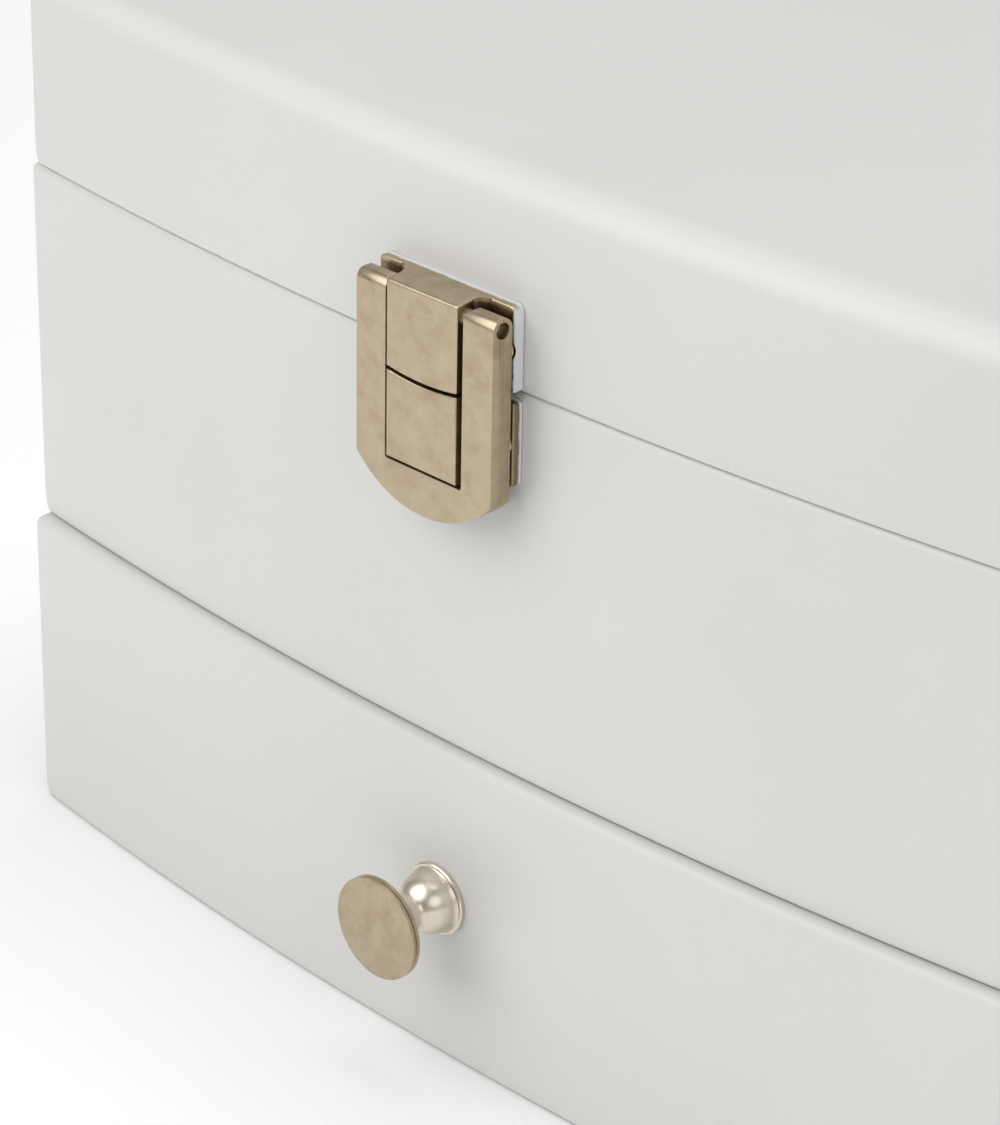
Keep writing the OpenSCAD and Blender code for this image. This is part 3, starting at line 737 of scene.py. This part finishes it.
def bail_outline():
    """Front view of the bail: curved foot, two arms with rounded tops, open window."""
    half = (BAIL[1].x - BAIL[0].x) / 2
    z0, z1 = BAIL[0].z, BAIL[1].z
    straight = SEAM_Z - 13.25 * MM
    sag = straight - z0
    radius = (half ** 2 + sag ** 2) / (2 * sag)
    reach = math.degrees(math.asin(half / radius))
    inner_r = 1.1 * MM
    outer_r = 0.55 * MM
    corner = 0.35 * MM
    sill = CATCH[0].z - 0.25 * MM
    shape = arc(0, z0 + radius, radius, 270 - reach, 270 + reach, 48)
    shape += arc(half - outer_r, z1 - outer_r, outer_r, 0, 90, 5)
    shape += arc(WINDOW_HALF + inner_r, z1 - inner_r, inner_r, 90, 180, 7)
    shape += arc(WINDOW_HALF - corner, sill + corner, corner, 360, 270, 4)
    shape += arc(-WINDOW_HALF + corner, sill + corner, corner, 270, 180, 4)
    shape += arc(-WINDOW_HALF - inner_r, z1 - inner_r, inner_r, 0, 90, 7)
    shape += arc(-half + outer_r, z1 - outer_r, outer_r, 90, 180, 5)
    return [(BAIL_X + x, z) for x, z in shape]


def make_bail(metal):
    """U-shaped bail: the front view met by the side view, which is round at the top."""
    front_y, rear_y = BAIL[0].y, BAIL[1].y
    round_r = (rear_y - front_y) / 2
    spare = 1 * MM
    bm = bmesh.new()
    stack_rings(bm, [[(x, y, z) for x, z in bail_outline()]
                     for y in (front_y - spare, rear_y + spare)])
    bail = finish_mesh("latch_bail_arms", bm, metal)
    side = arc(front_y + round_r, BAIL[1].z - round_r, round_r, 0, 180, 18)
    side += [(front_y, BAIL[0].z - spare), (rear_y, BAIL[0].z - spare)]
    bm = bmesh.new()
    stack_rings(bm, [[(x, y, z) for y, z in side]
                     for x in (BAIL[0].x - spare, BAIL[1].x + spare)])
    cut(bail, finish_mesh("side_view", bm, metal), "INTERSECT")
    tidy_mesh(bail.data, METAL_EDGE)
    bm = bmesh.new()
    add_rod_x(bm, BAIL[0].x - spare, BAIL[1].x + spare, PIN_Y, PIN_Z, PIN_R)
    cut(bail, finish_mesh("bore", bm, metal))
    return bail


def make_pin(metal):
    """The pin: a small domed end inside a sunk ring, at each side."""
    turn = [2 * math.pi * i / 32 for i in range(32)]
    profile = [(0.12 * MM, 0.02 * MM), (0.16 * MM, 0.3 * MM), (0.3 * MM, 0.55 * MM),
               (0.7 * MM, 0.6 * MM), (0.8 * MM, PIN_R)]
    ends = [(PIN[0].x + d, r) for d, r in profile]
    ends += [(PIN[1].x - d, r) for d, r in reversed(profile)]
    bm = bmesh.new()
    stack_rings(bm, [[(x, PIN_Y + r * math.cos(a), PIN_Z + r * math.sin(a)) for a in turn]
                     for x, r in ends])
    return finish_mesh("latch_pin_rod", bm, metal)


def turned(bm, base, profile, segments=64):
    """A turned shape: profile is (distance towards -Y from base, radius)."""
    turn = [2 * math.pi * i / segments for i in range(segments)]
    stack_rings(bm, [[(base[0] + r * math.cos(a), base[1] - d, base[2] + r * math.sin(a))
                      for a in turn] for d, r in profile])


def make_nails(name, node, metal):
    """Round-headed nails, two to a plate, their heads standing just clear of it."""
    low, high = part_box(node)
    head_r = (high.z - low.z) / 2
    head_h = PLATE_FRONT_Y - low.y
    depth = high.y - PLATE_FRONT_Y
    shaft_r = 0.5 * MM
    profile = [(-depth, 0.05 * MM), (-depth + 1.2 * MM, shaft_r), (0, shaft_r),
               (0, head_r - 0.15 * MM)]
    profile += [(0.08 * MM + (head_h - 0.08 * MM) * math.sin(a), head_r * math.cos(a))
                for a in corner_steps(8)[:-1]]
    profile.append((head_h, 0.05 * MM))
    bm = bmesh.new()
    for x in (low.x + head_r, high.x - head_r):
        turned(bm, (x, PLATE_FRONT_Y, (low.z + high.z) / 2), profile, 32)
    return finish_mesh(name, bm, metal)


def make_latch():
    # Both plates' materials paint shade on the faces deep behind the latch front.
    painted_edge = nickel("nickel_lid_plate", overspray=0.4 * MM, sides_too=True, sunk=0.85)
    settle(make_lid_plate(painted_edge), "lid", "satin_nickel", "latch_lid_plate")
    half_painted = nickel("nickel_catch_plate", overspray=0.2 * MM, sunk=0.6)
    settle(make_catch(half_painted), "case", "satin_nickel", "latch_catch_plate")
    settle(make_bail(nickel("nickel_bail", parting=True)), "latch_bail", "satin_nickel",
           "latch_bail")
    dark = nickel("nickel_tarnished", brushed=False, rough=(0.3, 0.5), tarnish=0.35)
    settle(make_pin(dark), "latch_bail", "satin_nickel", "latch_pin")
    worn = nickel("nickel_nails", brushed=False, rough=(0.2, 0.35), tarnish=0.15)
    settle(make_nails("lid_plate_nails", "latch_lid_nails", worn), "lid", "satin_nickel",
           "latch_lid_nails")
    settle(make_nails("catch_plate_nails", "latch_case_nails", worn), "case", "satin_nickel",
           "latch_case_nails")


# ---- Knob ----

KNOB_BORE = 6.0 * MM
KNOB_BORE_R = 2.0 * MM
FLANGE_R = 5.0 * MM
FLANGE_T = 0.75 * MM
BELL_R = 4.35 * MM
BELL_H = 5.0 * MM
NECK_R = 2.35 * MM
NECK_SPREAD = 2.2 * MM
RIM_T = 1.2 * MM
DOME = 0.55 * MM
KNOB_EASE = 0.1 * MM


def flange_profile():
    """The knob's bore and flange, as (distance from the drawer, radius)."""
    return [(KNOB_BORE, 0.05 * MM), (KNOB_BORE, KNOB_BORE_R), (0.0, KNOB_BORE_R),
            (0.0, FLANGE_R - 0.1 * MM), (0.1 * MM, FLANGE_R), (FLANGE_T - 0.2 * MM, FLANGE_R),
            (FLANGE_T - 0.05 * MM, FLANGE_R - 0.15 * MM), (FLANGE_T, FLANGE_R - 0.4 * MM)]


def bell_and_neck_profile(back):
    """The bell, the waist it runs into, and the spread up to the back of the disc."""
    profile = []
    for i in range(13):
        a = math.radians(4 + 46 * i / 12)
        profile.append((FLANGE_T + BELL_H * math.sin(a), BELL_R * math.cos(a)))
    shoulder, shoulder_r = profile[-1]
    slope = -BELL_R * math.sin(a) / (BELL_H * math.cos(a))
    waist = shoulder + 2 * (NECK_R - shoulder_r) / slope
    for i in range(1, 9):
        t = i / 8
        profile.append((shoulder + (waist - shoulder) * t,
                        NECK_R + (shoulder_r - NECK_R) * (1 - t) ** 2))
    for i in range(1, 10):
        turn = i / 9 * math.pi / 2
        profile.append((waist + (back - waist) * math.sin(turn),
                        NECK_R + NECK_SPREAD * (1 - math.cos(turn))))
    return profile


def disc_profile(back, disc_r, reach):
    """The disc: a rim with one turned line, and a slightly domed face."""
    line = 0.1 * MM
    middle = back + RIM_T * 0.55
    front = back + RIM_T
    edge_r = disc_r - KNOB_EASE
    profile = [(back, edge_r), (back + KNOB_EASE, disc_r), (middle - line, disc_r),
               (middle, disc_r - 2.2 * line), (middle + line, disc_r),
               (front - KNOB_EASE, disc_r), (front - 0.3 * KNOB_EASE, disc_r - 0.3 * KNOB_EASE),
               (front, edge_r)]
    for i in range(1, 14):
        r = edge_r * (1 - i / 14)
        profile.append((front + DOME * (1 - (r / edge_r) ** 2), r))
    profile.append((reach, 0.02 * MM))
    return profile


def make_knob():
    """Flange, bell, waisted neck and a slightly domed disc with a lined rim."""
    base_y = KNOB[1].y
    z = (KNOB[0].z + KNOB[1].z) / 2
    reach = base_y - KNOB[0].y
    disc_r = (KNOB[1].z - KNOB[0].z) / 2
    back = reach - DOME - RIM_T
    profile = flange_profile() + bell_and_neck_profile(back) + disc_profile(back, disc_r, reach)
    bm = bmesh.new()
    turned(bm, (0, base_y, z), profile, 128)
    # The knob's material paints a highlight on its bell half.
    metal = nickel("nickel_turned", brushed=False, rough=(0.24, 0.36), tarnish=0.06,
                   bell_highlight=0.85)
    settle(finish_mesh("knob", bm, metal), "drawer", "satin_nickel", "drawer_knob")


# ---- Soft furnishings ----

def simulate_padding(piece, pressure, limit, voxel):
    """Swells a closed shape as stuffed cloth, caps the movement and applies the result."""
    remesh = piece.modifiers.new("remesh", "REMESH")
    remesh.mode = "VOXEL"
    remesh.voxel_size = voxel
    bpy.context.view_layer.update()
    dense = bpy.data.meshes.new_from_object(
        piece.evaluated_get(bpy.context.evaluated_depsgraph_get()))
    piece.modifiers.clear()
    piece.data = dense
    start = [v.co.copy() for v in dense.vertices]
    cloth = piece.modifiers.new("cloth", "CLOTH")
    cloth.settings.use_pressure = True
    cloth.settings.uniform_pressure_force = pressure
    cloth.settings.effector_weights.gravity = 0
    cloth.settings.tension_stiffness = 25
    cloth.settings.compression_stiffness = 25
    cloth.settings.quality = 6
    scene = bpy.context.scene
    for number in range(1, 21):
        scene.frame_set(number)
    swollen = bpy.data.meshes.new_from_object(
        piece.evaluated_get(bpy.context.evaluated_depsgraph_get()))
    piece.modifiers.clear()
    piece.data = swollen
    scene.frame_set(1)
    for vertex, was in zip(swollen.vertices, start):
        move = vertex.co - was
        if move.length > limit:
            vertex.co = was + move.normalized() * limit
    for face in piece.data.polygons:
        face.use_smooth = True


def subdivide(piece, levels=1):
    modifier = piece.modifiers.new("subdivide", "SUBSURF")
    modifier.levels = levels
    modifier.render_levels = levels


def make_rolls(cloth):
    """Ring rolls: padded bars with round tops, swollen as stuffed velvet."""
    low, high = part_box("ring_rolls")
    count = 5
    gap = 0.8 * MM
    width = (high.y - low.y - gap * (count - 1)) / count
    shrink = 0.5 * MM
    bm = bmesh.new()
    for i in range(count):
        y0 = low.y + i * (width + gap) + shrink
        y1 = y0 + width - 2 * shrink
        radius = (y1 - y0) / 2
        top = high.z - 0.4 * MM - radius
        outline = [(y0, low.z + 0.1 * MM), (y1, low.z + 0.1 * MM)]
        outline += arc((y0 + y1) / 2, top, radius, 0, 180, 12)
        ends = [(low.x + 0.4 * MM, 0.82), (low.x + 1.6 * MM, 1.0),
                (high.x - 1.6 * MM, 1.0), (high.x - 0.4 * MM, 0.82)]
        centre = ((y0 + y1) / 2, (low.z + high.z) / 2)
        stack_rings(bm, [[(x, centre[0] + (y - centre[0]) * s, centre[1] + (z - centre[1]) * s)
                          for y, z in outline] for x, s in ends])
    rolls = finish_mesh("padded_ring_rolls", bm, cloth)
    simulate_padding(rolls, 3.0, 0.45 * MM, 1.5 * MM)
    shape = random.Random(7)
    waves = [(shape.uniform(0, 6.3), shape.uniform(0.9, 1.3)) for _ in range(count)]
    for vertex in rolls.data.vertices:
        i = min(count - 1, max(0, int((vertex.co.y - low.y) / (width + gap))))
        phase, rate = waves[i]
        height = (vertex.co.z - low.z) / (high.z - low.z)
        vertex.co.z += 0.25 * MM * height * (math.sin(vertex.co.x / (9 * MM) * rate + phase) - 1)
    keep_inside(rolls, low, high)
    subdivide(rolls)
    settle(rolls, "case", "velvet", "ring_rolls")


def keep_inside(piece, low, high):
    """Presses a soft piece back into the room it has."""
    for vertex in piece.data.vertices:
        for axis in range(3):
            vertex.co[axis] = min(max(vertex.co[axis], low[axis]), high[axis])


def make_floor_pad(name, node, body, cloth, tuft):
    """A thin floor pad, crowned between rows of shallow tufts."""
    low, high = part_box(node)
    thick = high.z - low.z
    columns, rows = 96, 64
    bm = bmesh.new()
    grid = []
    for j in range(rows + 1):
        line = []
        for i in range(columns + 1):
            x = low.x + (high.x - low.x) * i / columns
            y = low.y + (high.y - low.y) * j / rows
            rim = min(x - low.x, high.x - x, y - low.y, high.y - y)
            edge = min(1.0, rim / (2.5 * MM))
            crown = math.sqrt(max(0.0, 1 - (1 - edge) ** 2))
            quilt = abs(math.sin(math.pi * x / tuft) * math.sin(math.pi * y / tuft)) ** 0.35
            z = low.z + thick * crown * (0.72 + 0.28 * quilt)
            line.append(bm.verts.new((x, y, max(z, low.z + 0.1 * MM))))
        grid.append(line)
    for below, above in zip(grid, grid[1:]):
        for i in range(columns):
            bm.faces.new((below[i], below[i + 1], above[i + 1], above[i]))
    border = [e for e in bm.edges if e.is_boundary]
    skirt = bmesh.ops.extrude_edge_only(bm, edges=border)
    for vertex in [g for g in skirt["geom"] if isinstance(g, bmesh.types.BMVert)]:
        vertex.co.z = low.z
    bmesh.ops.holes_fill(bm, edges=[e for e in bm.edges if e.is_boundary], sides=0)
    pad = finish_mesh(name, bm, cloth, math.radians(60))
    settle(pad, body, "velvet", node)


def make_wrapped_walls(name, node, body, cloth, walls, soften=0.45):
    """Thin card walls wrapped in velvet: each one a block with well-rounded edges."""
    bm = bmesh.new()
    for low, high in walls:
        thin = min(high[0] - low[0], high[1] - low[1])
        add_block(bm, low, high, thin * soften, 4)
    settle(finish_mesh(name, bm, cloth, math.radians(50)), body, "velvet", node)


LINING_T = 1.6 * MM
DIVIDER_T = 2.4 * MM
CROSS_Y = 3 * MM
CELL_X = 26 * MM


def make_lining(cloth):
    low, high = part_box("compartment_lining")
    t = LINING_T
    walls = [((low.x, y, low.z), (high.x, y + t, high.z)) for y in (low.y, high.y - t)]
    walls += [((x, low.y + t, low.z), (x + t, high.y - t, high.z)) for x in (low.x, high.x - t)]
    make_wrapped_walls("velvet_lining", "compartment_lining", "case", cloth, walls)


def make_case_dividers(cloth):
    low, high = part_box("compartment_dividers")
    half = DIVIDER_T / 2
    walls = [((low.x, CROSS_Y - half, low.z), (high.x, CROSS_Y + half, high.z))]
    walls += [((x - half, CROSS_Y + half, low.z), (x + half, high.y, high.z))
              for x in (-CELL_X, CELL_X)]
    walls.append(((CELL_X - half, low.y, low.z), (CELL_X + half, CROSS_Y - half, high.z)))
    make_wrapped_walls("velvet_dividers", "compartment_dividers", "case", cloth, walls)


def make_drawer_dividers(cloth):
    low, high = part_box("drawer_dividers")
    half = DIVIDER_T / 2
    middle = (low.y + high.y) / 2
    cell = (high.x - low.x) / 6
    walls = [((low.x, middle - half, low.z), (high.x, middle + half, high.z))]
    for x in (-cell, cell):
        walls.append(((x - half, low.y, low.z), (x + half, middle - half, high.z)))
        walls.append(((x - half, middle + half, low.z), (x + half, high.y, high.z)))
    make_wrapped_walls("drawer_velvet_dividers", "drawer_dividers", "drawer", cloth, walls)


def make_interior(cloth):
    make_lining(cloth)
    make_case_dividers(cloth)
    make_drawer_dividers(cloth)
    make_floor_pad("compartment_pad", "compartment_floor_pad", "case", cloth, 26 * MM)
    make_floor_pad("drawer_pad", "drawer_floor_pad", "drawer", cloth, 24 * MM)
    make_rolls(cloth)


# ---- Plain joinery, mirror and what stays as CAD ----

def make_joinery(wood, felted):
    side_wood = bare_wood("bare_wood_sides", along_y=True)
    boards = {"drawer_left_side": side_wood, "drawer_right_side": side_wood,
              "drawer_back": wood, "drawer_bottom": wood}
    for node, grained in boards.items():
        settle(block_piece(node + "_board", node, 0.5 * MM, grained), "drawer", "bare_wood",
               node)
    settle(block_piece("stop_strip", "drawer_stop", 0.4 * MM, wood), "case", "bare_wood",
           "drawer_stop")
    settle(block_piece("felt_sheet", "base_felt", 0.35 * MM, felted), "case", "felt", "base_felt")


def make_mirror(glass):
    """Mirror with a bevelled border."""
    low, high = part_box("lid_mirror")
    slope = 5.0 * MM
    lift = 0.6 * MM
    rings = []
    for z, inset in ((high.z, 0.0), (low.z + lift, 0.0), (low.z, slope)):
        rings.append([(low.x + inset, low.y + inset, z), (high.x - inset, low.y + inset, z),
                      (high.x - inset, high.y - inset, z), (low.x + inset, high.y - inset, z)])
    bm = bmesh.new()
    stack_rings(bm, rings)
    mirror = finish_mesh("bevelled_mirror", bm, glass, math.radians(2))
    settle(mirror, "lid", "mirror_glass", "lid_mirror")


def moulding_section(foot, top, glass_z):
    """The frame's section, as (distance in from the outside, height)."""
    width = 9 * MM
    rebate = 4 * MM
    return [(0, top), (0, foot + 1.0 * MM), (0.5 * MM, foot + 0.4 * MM), (1.5 * MM, foot),
            (4.0 * MM, foot), (4.8 * MM, foot + 0.25 * MM), (5.2 * MM, foot + 0.7 * MM),
            (6.4 * MM, foot + 0.8 * MM), (7.6 * MM, foot + 1.2 * MM), (width, foot + 1.6 * MM),
            (width, glass_z), (rebate, glass_z), (rebate, top)]


def make_mirror_frame(paint):
    """Four mitred, moulded strips that hold the mirror."""
    low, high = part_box("mirror_frame")
    section = moulding_section(low.z, high.z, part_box("lid_mirror")[0].z)
    corners = []
    for sx, sy in ((-1, -1), (1, -1), (1, 1), (-1, 1)):
        corners.append([((low.x + d) if sx < 0 else (high.x - d),
                         (low.y + d) if sy < 0 else (high.y - d), z) for d, z in section])
    bm = bmesh.new()
    for a, b in zip(corners, corners[1:] + corners[:1]):
        stack_rings(bm, [a, b])
    settle(finish_mesh("mirror_moulding", bm, paint), "lid", "white_paint", "mirror_frame")


def dress_cad(material_of_slot):
    """CAD nodes whose shape is right keep it and get the detailed material of their slot."""
    for row in frame["record"]["subparts"]:
        node = frame["nodes"][row["node"]]
        if node.hide_render:
            continue
        material = material_of_slot[row["material_slot"]]
        if node.material_slots:
            for held in node.material_slots:
                held.material = material
        else:
            node.data.materials.append(material)


# ---- Stage ----

def soft_light(name, place, aim, size, watts, colour=(1, 1, 1)):
    data = bpy.data.lights.new(name, "AREA")
    data.shape = "DISK"
    data.size = size
    data.energy = watts
    data.color = colour
    light = bpy.data.objects.new(name, data)
    light.location = place
    light.rotation_euler = (Vector(aim) - Vector(place)).to_track_quat("-Z", "Y").to_euler()
    bpy.context.scene.collection.objects.link(light)


def make_floor():
    n = Nodes("pale_floor")
    n.link(n.ramp(n.noise(3, 2, 0.5), (0.3, (0.94, 0.94, 0.94)), (0.7, (0.955, 0.955, 0.955))),
           n.shader.inputs["Base Color"])
    n.set(Roughness=0.85, Specular_IOR_Level=0.1)
    half = 6.0
    corners = ((-half, -half, 0), (half, -half, 0), (half, half, 0), (-half, half, 0))
    bm = bmesh.new()
    bm.faces.new([bm.verts.new(p) for p in corners])
    finish_mesh("floor", bm, n.material)


def make_studio():
    """Soft white surroundings with a large key, a fill and a top light."""
    scene = bpy.context.scene
    world = bpy.data.worlds.new("studio")
    world.use_nodes = True
    background = world.node_tree.nodes["Background"]
    background.inputs["Color"].default_value = (1, 1, 1, 1)
    background.inputs["Strength"].default_value = 0.37
    scene.world = world
    soft_light("key", (-0.35, -0.95, 0.95), (0, 0, 0.05), 1.5, 11.4)
    soft_light("fill", (1.1, -0.5, 0.7), (0, 0, 0.06), 0.9, 2.1)
    soft_light("top", (0.1, 0.3, 1.3), (0, 0, 0.1), 1.1, 7.6, (0.98, 0.99, 1))
    scene.view_settings.view_transform = "Standard"
    scene.view_settings.look = "None"


# ---- Build ----

make_camera()
paint = white_paint()
cloth = velvet()
wood = bare_wood("bare_wood")
felted = felt()
glass = silvered_glass()
small_metal = nickel("nickel_small", brushed=False)
make_painted_fronts(paint)
make_painted_sides(paint)
make_latch()
make_knob()
make_interior(cloth)
make_joinery(wood, felted)
make_mirror(glass)
make_mirror_frame(paint)
dress_cad({"white_paint": paint, "bare_wood": wood, "satin_nickel": small_metal,
           "velvet": cloth, "felt": felted, "mirror_glass": glass})
make_floor()
make_studio()
